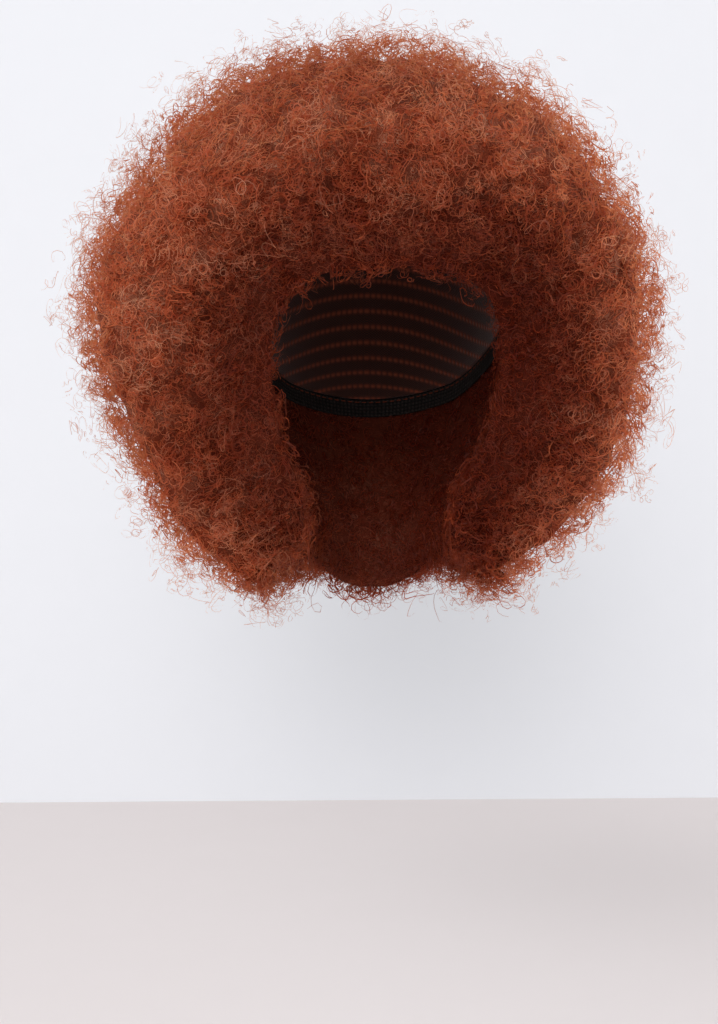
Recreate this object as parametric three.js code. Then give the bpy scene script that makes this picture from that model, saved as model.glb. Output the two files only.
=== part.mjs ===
// An afro wig: a stretch cap with a forehead band, a nape band and two ear tabs, and rows of
// hair locks that stand out from it all round, from a whorl at the back of the crown down to
// the fringe, the sides of the face and the neck.
// Millimetres, +Z up. The wearer looks along -Y, and +X is the wearer's left.
// The origin is the point inside the cap that sits on the crown of the head.
import * as THREE from "three";

// The head that the cap fits, measured from the middle of the head
const HEAD_WIDTH = 152;
const HEAD_FRONT = 92;
const HEAD_BACK = 98;
const CROWN_HEIGHT = 95;
const JAW_DEPTH = 118;
const NECK_WIDTH = 84;
const NECK_FRONT = 42;
const NECK_BACK = 60;
const NECK_BLEND = 8; // power of the blend between skull and neck: higher is sharper

// The cap and its edging
const CAP_WALL = 1.5;
const BAND_WIDTH = 12;
const BAND_WALL = 1.4;
const TAB_WIDTH = 24;
const TAB_LENGTH = 26;
const TAB_WALL = 1.4;
const TAB_TIP = 0.35; // width of a tab's lower end, as a share of its width
const TAB_AZIMUTH = 63; // degrees from straight ahead to the middle of an ear tab

// How far the hair reaches from the middle of the head
const HAIR_LEFT = 178; // to -X
const HAIR_RIGHT = 170; // to +X
const HAIR_TOP = 166;
const HAIR_BOTTOM = 180;
const HAIR_FRONT = 155;
const HAIR_BACK = 175;

// The hair's locks and its edge
const HAIR_ROWS = 10;
const LOCK_WIDTH = 38;
const LOCK_DEPTH = 8; // how deep the valleys between locks are
const LOCK_ROUNDNESS = 0.7; // power of a lock's profile: lower is flatter on top
const LOCK_VARIETY = 0.15; // how much lower the lowest lock is, as a share of the depth
const EDGE_ROUND = 64; // how far from its edge the hair takes to reach full length
const EDGE_THICKNESS = 9; // of the hair at its very edge
const WHORL_POLAR = 45; // degrees from straight up to the whorl, towards the back

// Clearances
const FIT_GAP = 1.4; // between the cap and the corners of the flat faces inside the hair
const SEAM_GAP = 0.5; // between the cap's edge, its bands and its tabs
const ROW_GAP = 0.7; // between two rows of hair, where they leave the cap

// Steps of the grids
const CAP_COLUMNS = 48;
const CAP_RINGS = 6;
const LOCK_COLUMNS = 4;
const LOCK_RINGS = 3;
const TAB_COLUMNS = 6;
const TAB_RINGS = 4;
const SLIVER = 0.5; // degrees: a band has no section nearer than this to its end

// The cap's rim: polar angle from straight up, round the head from the front to the back
const RIM = [
  { azimuth: 0, polar: 61 },
  { azimuth: 30, polar: 63 },
  { azimuth: 50, polar: 71 },
  { azimuth: 65, polar: 79 },
  { azimuth: 90, polar: 84 },
  { azimuth: 115, polar: 96 },
  { azimuth: 145, polar: 108 },
  { azimuth: 180, polar: 111 },
];

// The hair's edge: turn is the share of the way round half the edge, from the fringe past the
// temple, cheek and jaw to the nape; round is a share of EDGE_ROUND
const EDGE = [
  { turn: 0, polar: 77, azimuth: 0, round: 1 },
  { turn: 0.13, polar: 79, azimuth: 25, round: 1 },
  { turn: 0.22, polar: 84, azimuth: 38, round: 1 },
  { turn: 0.31, polar: 94, azimuth: 47, round: 1 },
  { turn: 0.4, polar: 111, azimuth: 53, round: 0.95 },
  { turn: 0.51, polar: 131, azimuth: 58, round: 0.85 },
  { turn: 0.63, polar: 150, azimuth: 66, round: 0.55 },
  { turn: 0.74, polar: 160, azimuth: 86, round: 0.3 },
  { turn: 0.84, polar: 160, azimuth: 117, round: 0.3 },
  { turn: 0.92, polar: 158, azimuth: 149, round: 0.35 },
  { turn: 1, polar: 157, azimuth: 180, round: 0.4 },
];

// The hair's outline by height: shares of the ellipsoid through the six reaches
const OUTLINE = [
  { polar: 0, left: 1, right: 1, front: 1, back: 1 },
  { polar: 30, left: 1, right: 0.99, front: 1, back: 1 },
  { polar: 60, left: 0.97, right: 0.97, front: 1.03, back: 1.01 },
  { polar: 82, left: 1.01, right: 1, front: 1.03, back: 1.01 },
  { polar: 100, left: 1, right: 0.98, front: 1, back: 1 },
  { polar: 120, left: 0.97, right: 1, front: 0.98, back: 0.99 },
  { polar: 140, left: 1.02, right: 0.99, front: 0.98, back: 0.98 },
  { polar: 160, left: 1, right: 1.01, front: 0.99, back: 0.98 },
  { polar: 180, left: 1, right: 1, front: 1, back: 1 },
];

const HEAD_MIDDLE = new THREE.Vector3(0, 0, -CROWN_HEIGHT);
const radians = THREE.MathUtils.degToRad;
const degrees = THREE.MathUtils.radToDeg;

// The value of a column of a table at a key, on a smooth curve that never overshoots its rows.
function read(table, keyColumn, valueColumn, key) {
  const last = table.length - 2;
  let row = 0;
  while (row < last && table[row + 1][keyColumn] < key) row += 1;
  const slope = (i) => {
    const rise = table[i + 1][valueColumn] - table[i][valueColumn];
    return rise / (table[i + 1][keyColumn] - table[i][keyColumn]);
  };
  const tangent = (i) => {
    const before = slope(Math.max(0, i - 1));
    const after = slope(Math.min(i, table.length - 2));
    return before * after > 0 ? (2 * before * after) / (before + after) : 0;
  };
  const step = table[row + 1][keyColumn] - table[row][keyColumn];
  const t = THREE.MathUtils.clamp((key - table[row][keyColumn]) / step, 0, 1);
  const start = table[row][valueColumn];
  const end = table[row + 1][valueColumn];
  const rise = 3 * t * t - 2 * t * t * t;
  const leaving = (t ** 3 - 2 * t ** 2 + t) * step * tangent(row);
  const arriving = (t ** 3 - t ** 2) * step * tangent(row + 1);
  return start + (end - start) * rise + leaving + arriving;
}

// A direction from the middle of the head: polar is from straight up, azimuth from straight ahead.
function direction(polar, azimuth) {
  const side = Math.sin(radians(polar));
  return new THREE.Vector3(
    side * Math.sin(radians(azimuth)),
    -side * Math.cos(radians(azimuth)),
    Math.cos(radians(polar)),
  );
}

// The radius of an ellipsoid with a different reach to each of the six sides.
function ellipsoidRadius(d, reach) {
  const x = d.x / (d.x < 0 ? reach.left : reach.right);
  const y = d.y / (d.y < 0 ? reach.front : reach.back);
  const z = d.z / (d.z < 0 ? reach.bottom : reach.top);
  return 1 / Math.hypot(x, y, z);
}

// How far the head and neck reach in a direction: a skull that blends into an oval neck.
function headRadius(d) {
  const skull = ellipsoidRadius(d, {
    left: HEAD_WIDTH / 2,
    right: HEAD_WIDTH / 2,
    front: HEAD_FRONT,
    back: HEAD_BACK,
    bottom: JAW_DEPTH,
    top: CROWN_HEIGHT,
  });
  const neck = ellipsoidRadius(d, {
    left: NECK_WIDTH / 2,
    right: NECK_WIDTH / 2,
    front: NECK_FRONT,
    back: NECK_BACK,
    bottom: Infinity,
    top: NECK_FRONT,
  });
  return skull * (1 + (neck / skull) ** NECK_BLEND) ** (1 / NECK_BLEND);
}

// How far the hair would reach in a direction if it had no locks and no edge.
function outlineRadius(d) {
  const polar = degrees(Math.acos(THREE.MathUtils.clamp(d.z, -1, 1)));
  const flat = Math.max(d.x * d.x + d.y * d.y, Number.EPSILON);
  const side = read(OUTLINE, "polar", d.x < 0 ? "left" : "right", polar);
  const end = read(OUTLINE, "polar", d.y < 0 ? "front" : "back", polar);
  const share = (side * d.x * d.x + end * d.y * d.y) / flat;
  const reach = {
    left: HAIR_LEFT,
    right: HAIR_RIGHT,
    front: HAIR_FRONT,
    back: HAIR_BACK,
    bottom: HAIR_BOTTOM,
    top: HAIR_TOP,
  };
  return share * ellipsoidRadius(d, reach);
}

// A point in a direction from the middle of the head.
const pointAt = (d, radius) => d.clone().multiplyScalar(radius).add(HEAD_MIDDLE);

// A direction of the hair: share is the way from the whorl to the edge, and turn runs from 0 at
// the fringe through 0.5 at the nape and back to 1.
function hairDirection(share, turn) {
  const half = turn <= 0.5 ? 2 * turn : 2 - 2 * turn;
  const side = turn <= 0.5 ? 1 : -1;
  const whorl = direction(WHORL_POLAR, 180);
  const edge = direction(
    read(EDGE, "turn", "polar", half),
    side * read(EDGE, "turn", "azimuth", half),
  );
  const angle = whorl.angleTo(edge);
  return whorl
    .multiplyScalar(Math.sin((1 - share) * angle))
    .addScaledVector(edge, Math.sin(share * angle))
    .divideScalar(Math.sin(angle));
}

// The length along the hair's outside from the whorl to its edge, at a turn.
function reachToEdge(turn) {
  const whorl = direction(WHORL_POLAR, 180);
  return whorl.angleTo(hairDirection(1, turn)) * outlineRadius(whorl);
}

// The hair's outside at a share and turn, sunk by up to LOCK_DEPTH between two locks.
function hairOutside(share, turn, lockHeight) {
  const d = hairDirection(share, turn);
  const inside = headRadius(d) + CAP_WALL + FIT_GAP;
  const full = outlineRadius(d) - LOCK_DEPTH * (1 - lockHeight) - inside;
  const half = turn <= 0.5 ? 2 * turn : 2 - 2 * turn;
  const roundness = EDGE_ROUND * read(EDGE, "turn", "round", half);
  const fromEdge = Math.min(1, ((1 - share) * reachToEdge(turn)) / roundness);
  const length = full * Math.sqrt(1 - (1 - fromEdge) ** 2);
  return pointAt(d, inside + Math.max(EDGE_THICKNESS, length));
}

// The hair's inside at a share and turn, a fit gap outside the cap.
function hairInside(share, turn) {
  const d = hairDirection(share, turn);
  return pointAt(d, headRadius(d) + CAP_WALL + FIT_GAP);
}

// Triangles between two closed rings of points, where the longer ring has a whole number of
// points for each one of the shorter. A ring of one point is a pole.
function stitch(triangles, first, second) {
  const long = first.length >= second.length ? first : second;
  const short = long === first ? second : first;
  const add = (a, b, c) => triangles.push(...(long === first ? [a, b, c] : [a, c, b]));
  const partner = (i) => Math.floor((i * short.length) / long.length);
  for (let i = 0; i < long.length; i += 1) {
    const near = short[partner(i) % short.length];
    const next = short[partner(i + 1) % short.length];
    const ahead = long[(i + 1) % long.length];
    add(long[i], ahead, near);
    if (near !== next) add(ahead, next, near);
  }
}

// Triangles that close the end of a wall, whose ring runs out along one face and back on the other.
function closeEnd(triangles, ring, facesForward) {
  const add = (a, b, c) => triangles.push(...(facesForward ? [a, b, c] : [a, c, b]));
  const last = ring.length - 1;
  for (let i = 0; i + 1 < ring.length / 2; i += 1) {
    add(ring[i], ring[i + 1], ring[last - i]);
    add(ring[i + 1], ring[last - i - 1], ring[last - i]);
  }
}

// A closed solid through rings of points. It closes on itself, at a pole or at a wall's end.
function loft(rings, closesOnItself) {
  const triangles = [];
  for (let i = 0; i + 1 < rings.length; i += 1) stitch(triangles, rings[i], rings[i + 1]);
  if (closesOnItself) {
    stitch(triangles, rings[rings.length - 1], rings[0]);
  } else {
    closeEnd(triangles, rings[0], false);
    closeEnd(triangles, rings[rings.length - 1], true);
  }
  return new THREE.BufferGeometry().setFromPoints(triangles);
}

// The polar angle of the cap's rim, which runs straight from one column of the cap to the next.
function rimPolar(azimuth) {
  const column = (Math.abs(azimuth) * CAP_COLUMNS) / 360;
  const before = Math.floor(column);
  const at = (i) => read(RIM, "azimuth", "polar", (i * 360) / CAP_COLUMNS);
  return THREE.MathUtils.lerp(at(before), at(before + 1), column - before);
}

function named(name, geometry, material) {
  const mesh = new THREE.Mesh(geometry, material);
  mesh.name = name;
  return mesh;
}

// The cap: a dome of even wall on the head, from its pole to its rim.
function makeCap(material) {
  const ringAt = (share, thickness) => {
    if (share === 0) return [pointAt(direction(0, 0), CROWN_HEIGHT + thickness)];
    const ring = [];
    for (let i = 0; i < CAP_COLUMNS; i += 1) {
      const azimuth = -180 + (360 * i) / CAP_COLUMNS;
      const d = direction(share * rimPolar(azimuth), azimuth);
      ring.push(pointAt(d, headRadius(d) + thickness));
    }
    return ring;
  };
  const rings = [];
  for (let i = 0; i <= CAP_RINGS; i += 1) rings.push(ringAt(i / CAP_RINGS, CAP_WALL));
  for (let i = CAP_RINGS; i >= 0; i -= 1) rings.push(ringAt(i / CAP_RINGS, 0));
  return named("cap", loft(rings.reverse(), false), material);
}

// Polar angle of a point a length below the cap's rim, measured along the head.
function belowRim(azimuth, length) {
  const polar = rimPolar(azimuth);
  return polar + degrees(length / headRadius(direction(polar, azimuth)));
}

// The angle round the head that a width takes up at the ear tabs.
function azimuthOf(width) {
  const polar = rimPolar(TAB_AZIMUTH);
  const d = direction(polar, TAB_AZIMUTH);
  return degrees(width / (headRadius(d) * Math.sin(radians(polar))));
}

// A band along the cap's rim between two azimuths, as a strip with four corners a section.
function makeBand(name, from, to, material) {
  const step = 360 / CAP_COLUMNS;
  const stops = [from];
  for (let a = Math.ceil(from / step) * step; a < to - SLIVER; a += step) {
    if (a > from + SLIVER) stops.push(a);
  }
  stops.push(to);
  const wrap = (azimuth) => (azimuth > 180 ? azimuth - 360 : azimuth);
  const sections = stops.map(wrap).map((azimuth) => {
    const corner = (length, thickness) => {
      const d = direction(belowRim(azimuth, length), azimuth);
      return pointAt(d, headRadius(d) + thickness);
    };
    const bottom = SEAM_GAP + BAND_WIDTH;
    return [
      corner(SEAM_GAP, 0),
      corner(SEAM_GAP, BAND_WALL),
      corner(bottom, BAND_WALL),
      corner(bottom, 0),
    ];
  });
  return named(name, loft(sections, false), material);
}

// An ear tab: a rounded tongue that hangs from the cap's rim in front of the ear.
function makeEarTab(name, side, material) {
  const halfTurn = azimuthOf(TAB_WIDTH) / 2;
  const sections = [];
  for (let ring = 0; ring <= TAB_RINGS; ring += 1) {
    const down = Math.sin((Math.PI / 2) * (ring / TAB_RINGS));
    const narrowing = Math.max(TAB_TIP, Math.sqrt(1 - down ** 4));
    const at = (column, thickness) => {
      const across = (2 * column) / TAB_COLUMNS - 1;
      const azimuth = side * (TAB_AZIMUTH + across * narrowing * halfTurn);
      const length = SEAM_GAP + down * TAB_LENGTH;
      const d = direction(belowRim(azimuth, length), azimuth);
      return pointAt(d, headRadius(d) + thickness);
    };
    const section = [];
    for (let column = 0; column <= TAB_COLUMNS; column += 1) section.push(at(column, TAB_WALL));
    for (let column = TAB_COLUMNS; column >= 0; column -= 1) section.push(at(column, 0));
    sections.push(side > 0 ? section.reverse() : section);
  }
  return named(name, loft(sections, false), material);
}

// One row of hair: a ring of rounded locks on a common backing that lies round the cap. Rows past
// the widest one keep its number of locks, so that their edges run alike where they bend in.
function makeHairRow(row, material) {
  const first = row / HAIR_ROWS;
  const last = (row + 1) / HAIR_ROWS;
  const middle = direction(WHORL_POLAR, 180).angleTo(hairDirection((first + last) / 2, 0.25));
  const ringLength = Math.PI * (HAIR_LEFT + HAIR_RIGHT) * Math.sin(Math.min(Math.PI / 2, middle));
  const locks = Math.max(5, Math.round(ringLength / LOCK_WIDTH));
  const columns = locks * LOCK_COLUMNS;
  const phase = row % 2 ? 0.5 : 0;
  const hasPole = row === 0;

  // A share that keeps half the gap to the next row, which a radial wall widens outwards.
  const inset = (share, sign, turn) => {
    if (share <= 0 || share >= 1) return share;
    const angle = direction(WHORL_POLAR, 180).angleTo(hairDirection(1, turn));
    return share + (sign * ROW_GAP) / (2 * angle * headRadius(hairDirection(share, turn)));
  };
  const ringAt = (count, place) => {
    const ring = [];
    for (let i = 0; i < count; i += 1) ring.push(place(i / count));
    return ring;
  };
  const shareAt = (across, turn) =>
    inset(first, 1, turn) * (1 - across) + inset(last, -1, turn) * across;
  const lockHeight = (across, turn) => {
    const round = Math.abs(Math.sin(Math.PI * (turn * locks + phase)));
    const over = hasPole ? Math.cos((Math.PI / 2) * across) : Math.sin(Math.PI * across);
    const lock = Math.floor(turn * locks + phase);
    const size = 1 - LOCK_VARIETY * (0.5 + 0.5 * Math.sin(2.4 * lock + 1.7 * row));
    const atPole = hasPole && across === 0;
    return size * (Math.max(0, over) * (atPole ? 1 : round)) ** LOCK_ROUNDNESS;
  };
  const outside = (across) => (turn) =>
    hairOutside(shareAt(across, turn), turn, lockHeight(across, turn));
  const inside = (across) => (turn) => hairInside(shareAt(across, turn), turn);

  const rings = [];
  for (let i = 0; i <= LOCK_RINGS; i += 1) {
    const count = hasPole && i === 0 ? 1 : columns;
    rings.push(ringAt(count, outside(i / LOCK_RINGS)));
  }
  rings.push(ringAt(columns / 2, inside(1)));
  rings.push(ringAt(hasPole ? 1 : columns / 2, inside(0)));
  const name = "hair_row_" + String(row + 1).padStart(2, "0");
  return named(name, loft(rings.reverse(), !hasPole), material);
}

const netMaterial = new THREE.MeshStandardMaterial({ color: 0x17120f, roughness: 0.85, metalness: 0 });
const bandMaterial = new THREE.MeshStandardMaterial({ color: 0x0e0c0b, roughness: 0.7, metalness: 0 });
const hairMaterial = new THREE.MeshStandardMaterial({ color: 0x7a3320, roughness: 0.6, metalness: 0 });

const tabEdge = azimuthOf(TAB_WIDTH / 2 + SEAM_GAP);
const wig = new THREE.Group();
wig.add(makeCap(netMaterial));
wig.add(makeBand("front_band", tabEdge - TAB_AZIMUTH, TAB_AZIMUTH - tabEdge, bandMaterial));
wig.add(makeBand("nape_band", TAB_AZIMUTH + tabEdge, 360 - TAB_AZIMUTH - tabEdge, bandMaterial));
wig.add(makeEarTab("ear_tab_left", 1, bandMaterial));
wig.add(makeEarTab("ear_tab_right", -1, bandMaterial));
for (let row = 0; row < HAIR_ROWS; row += 1) wig.add(makeHairRow(row, hairMaterial));

export default wig;
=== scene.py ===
"""An afro wig, dressed around its packed construction: a frizzy body of hair, strands of loose
curls over it, and the stretch cap with its bands and ear tabs inside."""
import math

import bpy
import numpy as np
from bpy.props import FloatProperty, FloatVectorProperty, IntProperty, PointerProperty
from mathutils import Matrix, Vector


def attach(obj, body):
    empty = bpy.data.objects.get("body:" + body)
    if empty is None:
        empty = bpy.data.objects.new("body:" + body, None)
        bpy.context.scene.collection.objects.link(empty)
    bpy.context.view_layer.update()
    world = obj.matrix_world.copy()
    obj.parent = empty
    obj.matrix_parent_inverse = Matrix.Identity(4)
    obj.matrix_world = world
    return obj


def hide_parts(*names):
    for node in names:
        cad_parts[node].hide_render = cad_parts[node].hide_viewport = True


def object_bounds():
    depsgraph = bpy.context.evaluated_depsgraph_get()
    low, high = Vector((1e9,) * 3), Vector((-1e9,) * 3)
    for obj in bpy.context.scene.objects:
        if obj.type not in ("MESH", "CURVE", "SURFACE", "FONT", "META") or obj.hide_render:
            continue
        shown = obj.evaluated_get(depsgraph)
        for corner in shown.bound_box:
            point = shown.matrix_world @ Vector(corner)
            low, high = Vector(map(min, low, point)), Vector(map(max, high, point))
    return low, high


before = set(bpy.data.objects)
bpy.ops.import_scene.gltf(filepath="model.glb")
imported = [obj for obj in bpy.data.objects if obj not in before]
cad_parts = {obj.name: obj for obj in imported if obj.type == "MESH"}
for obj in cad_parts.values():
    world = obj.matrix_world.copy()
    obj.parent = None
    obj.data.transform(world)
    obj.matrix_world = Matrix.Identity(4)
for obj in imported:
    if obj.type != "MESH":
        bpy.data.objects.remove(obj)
CAD_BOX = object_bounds()
HAIR_NODES = sorted(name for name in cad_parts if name.startswith("hair_row"))

bl_info = {
    "name": "Afro Wig",
    "version": (1, 0, 0),
    "blender": (4, 5, 0),
    "location": "3D View > Sidebar > Wig",
    "description": "Builds a frizzy afro wig on a stretch cap, with its stage and camera",
    "category": "Object",
}

SIDEBAR_TAB = "Wig"
TAU = 2 * math.pi
UP = Vector((0, 0, 1))
TINY = 1e-12  # keeps divisions off 0
CELL_SHIFT = 4096  # added to noise cells' numbers, so that none is below 0

# The photograph's frame, and where the wig's middle lies in it
PHOTO_WIDTH, PHOTO_HEIGHT = 718, 1024
WIG_MIDDLE_PIXEL = (379, 325)
FLOOR_LINE_PIXEL = 800
SENSOR = 36  # the camera's sensor along its longer side, in millimetres

# The lamps' places and widths
KEY_PLACE, KEY_WIDTH = (-1.1, -1.85, 0.85), 1.6
FILL_PLACE, FILL_WIDTH = (1.5, 0.1, -0.3), 1.0

# The soft shade on the stage: how light it is, and where its middle lies in the photograph
WALL_SHADE, FLOOR_SHADE = 0.74, 0.88
WALL_SHADE_PIXEL = (420, 590)
FLOOR_SHADE_PIXEL = (620, 880)

# The hair's edge: turn is the share of the way round half the edge, from the fringe past the
# temple, cheek and jaw to the nape; round is a share of the edge's rounding
EDGE = {
    "turn": (0, 0.13, 0.22, 0.31, 0.4, 0.51, 0.63, 0.74, 0.84, 0.92, 1),
    "polar": (77, 79, 84, 94, 111, 131, 150, 160, 160, 158, 157),
    "azimuth": (0, 25, 38, 47, 53, 58, 66, 86, 117, 149, 180),
    "round": (1, 1, 1, 1, 0.95, 0.85, 0.55, 0.3, 0.3, 0.35, 0.4),
}

# The hair's outline by height: shares of the ellipsoid through the six reaches
OUTLINE = {
    "polar": (0, 30, 60, 82, 100, 120, 140, 160, 180),
    "left": (1.01, 1.02, 0.985, 1.01, 0.99, 0.965, 1.02, 1.01, 1),
    "right": (1.01, 0.99, 0.97, 0.995, 0.985, 1.01, 1, 1.01, 1),
    "front": (1, 1, 1.03, 1.03, 1, 0.98, 0.98, 0.99, 1),
    "back": (1, 1, 1.01, 1.01, 1, 0.99, 0.98, 0.98, 1),
}

# The cap's rim: polar angle from straight up, round the head from the front to the back, with one row
# past each end so that both sides meet without a kink
RIM = {
    "azimuth": (-30, 0, 30, 50, 65, 90, 115, 145, 180, 215),
    "polar": (63, 61, 63, 71, 79, 84, 96, 108, 111, 108),
}
WHORL_POLAR = 45
TAB_AZIMUTH = 63

# The grids of the hair's surface: one for the underhair, one to place the strands on
UNDERHAIR_GRID = {"outer_rows": 54, "round_rows": 24, "lip_rows": 6, "inner_rows": 22, "columns": 200}
SPOT_GRID = {"outer_rows": 60, "round_rows": 24, "lip_rows": 7, "inner_rows": 40, "columns": 240}

# The body of hair: the thickness under which a place is on the wig's inside, the share of the
# thickness that the underhair's depth may take, and the height and cell size of each layer of
# unevenness
NO_HAIR = 1e-6
DEPTH_SHARE = 0.42
UNEVENNESS = ((0.0032, 0.011), (0.0018, 0.0055))
FULL_UNEVEN = 0.04  # where the hair is this thick, its unevenness shows in full
TUFT_REACH = 0.85  # how far a tuft's bump reaches, in cells
SLOW_CELL = 0.055  # the cell size of the relief's slow unevenness

# The underhair's crossing sets of lines: noise cells to the metre, lines, shift and strength
LINE_SETS = ((90, 26, 0, 1), (120, 20, 3, 0.85), (70, 30, 7, 0.7))

# The hair's edge: how light it is on the side of the main light and on the other, and the thickness
# of hair from which, and over how much more of it, the hair gets lighter
EDGE_LIGHT, FAR_EDGE_LIGHT = 0.2, 0.07
SHADE_FROM, SHADE_OVER = 0.005, 0.085

# Wisps: how far their axes lean outwards and to their tufts' middles, the share of them that curl in
# a plane that faces outwards, and the power that makes tight curls likelier than loose ones
OUTWARD_LEAN, TUFT_PULL = 0.6, 0.3
FACING_SHARE = 0.55
TIGHT_POWER = 1.9
WISP_SPREAD = 0.0026  # how far a strand usually lies from its wisp's place along each axis

# Strands, in metres where they are lengths
INSIDE_CURL = 0.003  # the loosest curl on the inside of the wig
INSIDE_RISE = 0.001  # how far a strand on the inside stands out at most
FULL_ROOM = 0.05  # where the hair is this thick, strands stand out in full
DEEP_UNDER = 0.014  # a strand that stands out by less than this is partly deep
FUZZ_POWER = 1.3  # makes strands that stand out far rarer
WIDTH_POWER = 1.8  # how fast strands get narrower from the deepest outwards
END_TAPER = 0.7  # the share of its width that a strand loses by its end
SKULL_GAP = 0.0008  # how far strands keep off the skull
NECK_ROOM = 1.02  # strands beside the neck keep out to this many times its reach

# The cloth, in metres: the net's threads, the stitches along a sewn row, the edging's ribs across and
# rows along, and the place and width of its seam with the pitch and share of the seam's dashes
THREAD_PITCH, STITCH_PITCH = 0.0016, 0.003
RIB_PITCH, ROW_PITCH = 0.0021, 0.0024
SEAM_PLACE, SEAM_WIDTH = 0.002, 0.0008
DASH_PITCH, DASH_SHARE = 0.0038, 0.62
WEFT_SOFTNESS = 0.1  # how softly a sewn row fades, as a share of the distance between two
BAND_COLUMNS = 1.2  # in each degree of a band
BAND_EDGE = 0.55  # how thick a band is at its long edges, as a share of its middle
TAB_END = 0.35  # how wide an ear tab is at its end, as a share of its top


def length(name, default, description):
    """A property for a length in metres."""
    return FloatProperty(name=name, default=default, min=0, unit="LENGTH", description=description)


def colour(name, default, description):
    """A property for a linear colour."""
    return FloatVectorProperty(name=name, default=default, size=3, min=0, max=1, subtype="COLOR",
                               description=description)


class WigHead(bpy.types.PropertyGroup):
    """The head that the wig is made to fit, measured from the wig's middle."""
    width: length("Width", 0.152, "Width of the head")
    front: length("Front", 0.092, "Reach of the head to the front")
    back: length("Back", 0.098, "Reach of the head to the back")
    crown: length("Crown", 0.095, "Height of the crown over the wig's middle")
    jaw: length("Jaw", 0.118, "Depth of the skull under the wig's middle")
    neck_width: length("Neck width", 0.084, "Width of the neck")
    neck_front: length("Neck front", 0.042, "Reach of the neck to the front")
    neck_back: length("Neck back", 0.060, "Reach of the neck to the back")
    neck_blend: FloatProperty(name="Neck blend", default=8, min=1,
                              description="Power of the blend of skull and neck")


class WigHair(bpy.types.PropertyGroup):
    """The body of hair: its reach to each side, its edge, its tufts and its colours."""
    left: length("Left", 0.178, "Reach to the wearer's right, which the camera has on the left")
    right: length("Right", 0.170, "Reach to the wearer's left, which the camera has on the right")
    top: length("Top", 0.166, "Reach upwards")
    bottom: length("Bottom", 0.180, "Reach downwards")
    front: length("Front", 0.155, "Reach to the front")
    back: length("Back", 0.175, "Reach to the back")
    edge_round: length("Edge rounding", 0.064, "How far from its edge the hair takes to reach full length")
    edge_thickness: length("Edge thickness", 0.009, "Thickness of the hair at its very edge")
    inside_gap: length("Inside gap", 0.0029, "From the head to the inside of the hair, through the cap")
    tuft_size: length("Tuft size", 0.024, "Distance between two tufts")
    tuft_depth: length("Tuft depth", 0.0068, "How deep the valleys between tufts are")
    under_depth: length("Underhair depth", 0.0138, "How far the dense underhair lies under the outline")
    # Painted shade: the dark colour that the hair is mixed towards where its depth value is low, between
    # tufts, in deep layers, towards the roots and at the thin edge
    painted_shade_colour: colour("Painted shade", (0.068, 0.0085, 0.0034), "Colour in the depth of the hair")
    body_colour: colour("Lengths", (0.56, 0.100, 0.034), "Colour of most of the hair")
    # Partly the lightest strands' own tone, partly a painted highlight on strands that stand out into the
    # light
    light_tone_and_highlight_colour: colour("Light strands", (0.66, 0.37, 0.235), "Colour of the lightest strands")
    glow_colour: colour("Glow", (0.84, 0.37, 0.165), "Colour of light that comes through the hair")


class WigCurls(bpy.types.PropertyGroup):
    """The loose strands over the underhair."""
    pieces: IntProperty(name="Pieces", default=5, min=1,
                        description="How many pieces the strands are shared over")
    wisps: IntProperty(name="Wisps", default=1850, min=1, description="Wisps of hair in each piece")
    strands: IntProperty(name="Strands", default=4, min=1, description="Strands in a wisp")
    steps: IntProperty(name="Steps", default=13, min=3, description="Steps along a strand")
    width: length("Width", 0.00024, "Width of a strand that stands out")
    under_width: length("Under width", 0.00085, "Width of a strand that lies deep")
    tightest: length("Tightest curl", 0.0013, "Radius of the tightest curls")
    loosest: length("Loosest curl", 0.0054, "Radius of the loosest curls")
    lift: length("Lift", 0.0098, "How far the lowest strands' tops stand out from the underhair at most")
    fuzz: length("Fuzz", 0.023, "How much further a strand stands out at most")
    reach: length("Reach", 0.017, "How far a strand may stand out from the solids' box")
    seed: IntProperty(name="Seed", default=7, description="Seed of every random choice")


class WigCap(bpy.types.PropertyGroup):
    """The stretch cap with its edging."""
    wall: length("Wall", 0.0015, "Thickness of the cap")
    band_width: length("Band width", 0.012, "Width of the elastic edging")
    band_wall: length("Band wall", 0.0014, "Thickness of the elastic edging")
    tab_width: length("Tab width", 0.024, "Width of an ear tab")
    tab_length: length("Tab length", 0.026, "Length of an ear tab")
    seam: length("Seam", 0.0005, "Gap between the cap, its edging and its tabs")
    weft_spacing: length("Weft spacing", 0.0105, "Distance between two sewn rows of hair")
    weft_height: length("Weft height", 0.00036, "How far a sewn row stands out")
    net_colour: colour("Net", (0.010, 0.0062, 0.0050), "Colour of the net")
    weft_colour: colour("Weft", (0.17, 0.034, 0.014), "Colour of the sewn rows")
    band_colour: colour("Edging", (0.0048, 0.0036, 0.0032), "Colour of the edging")


class WigStage(bpy.types.PropertyGroup):
    """The floor, the wall, the lights and the camera."""
    floor_drop: length("Floor drop", 1.400, "Depth of the floor under the crown")
    stage_size: length("Stage size", 14.0, "Reach of the floor and the wall to each side")
    shade_spread: length("Shade spread", 0.85, "How far the soft shade on the wall and the floor spreads")
    eye_drop: length("Eye drop", 0.206, "Depth of the camera under the crown")
    distance: length("Distance", 0.850, "Distance from the camera to the wig's middle")
    azimuth: FloatProperty(name="Azimuth", default=math.radians(-4), subtype="ANGLE",
                           description="Angle of the camera round the wig, from straight ahead")
    lens: FloatProperty(name="Lens", default=50, min=1, unit="CAMERA", description="Focal length")
    floor_colour: colour("Floor", (0.75, 0.69, 0.675), "Colour of the floor")
    wall_colour: colour("Wall", (0.875, 0.89, 0.92), "Colour of the wall")
    key_power: FloatProperty(name="Key", default=31, min=0, unit="POWER",
                             description="Power of the main light")
    fill_power: FloatProperty(name="Fill", default=12, min=0, unit="POWER",
                              description="Power of the second light")
    sky: FloatProperty(name="Sky", default=1.12, min=0,
                       description="Strength of the light from all round")


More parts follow.
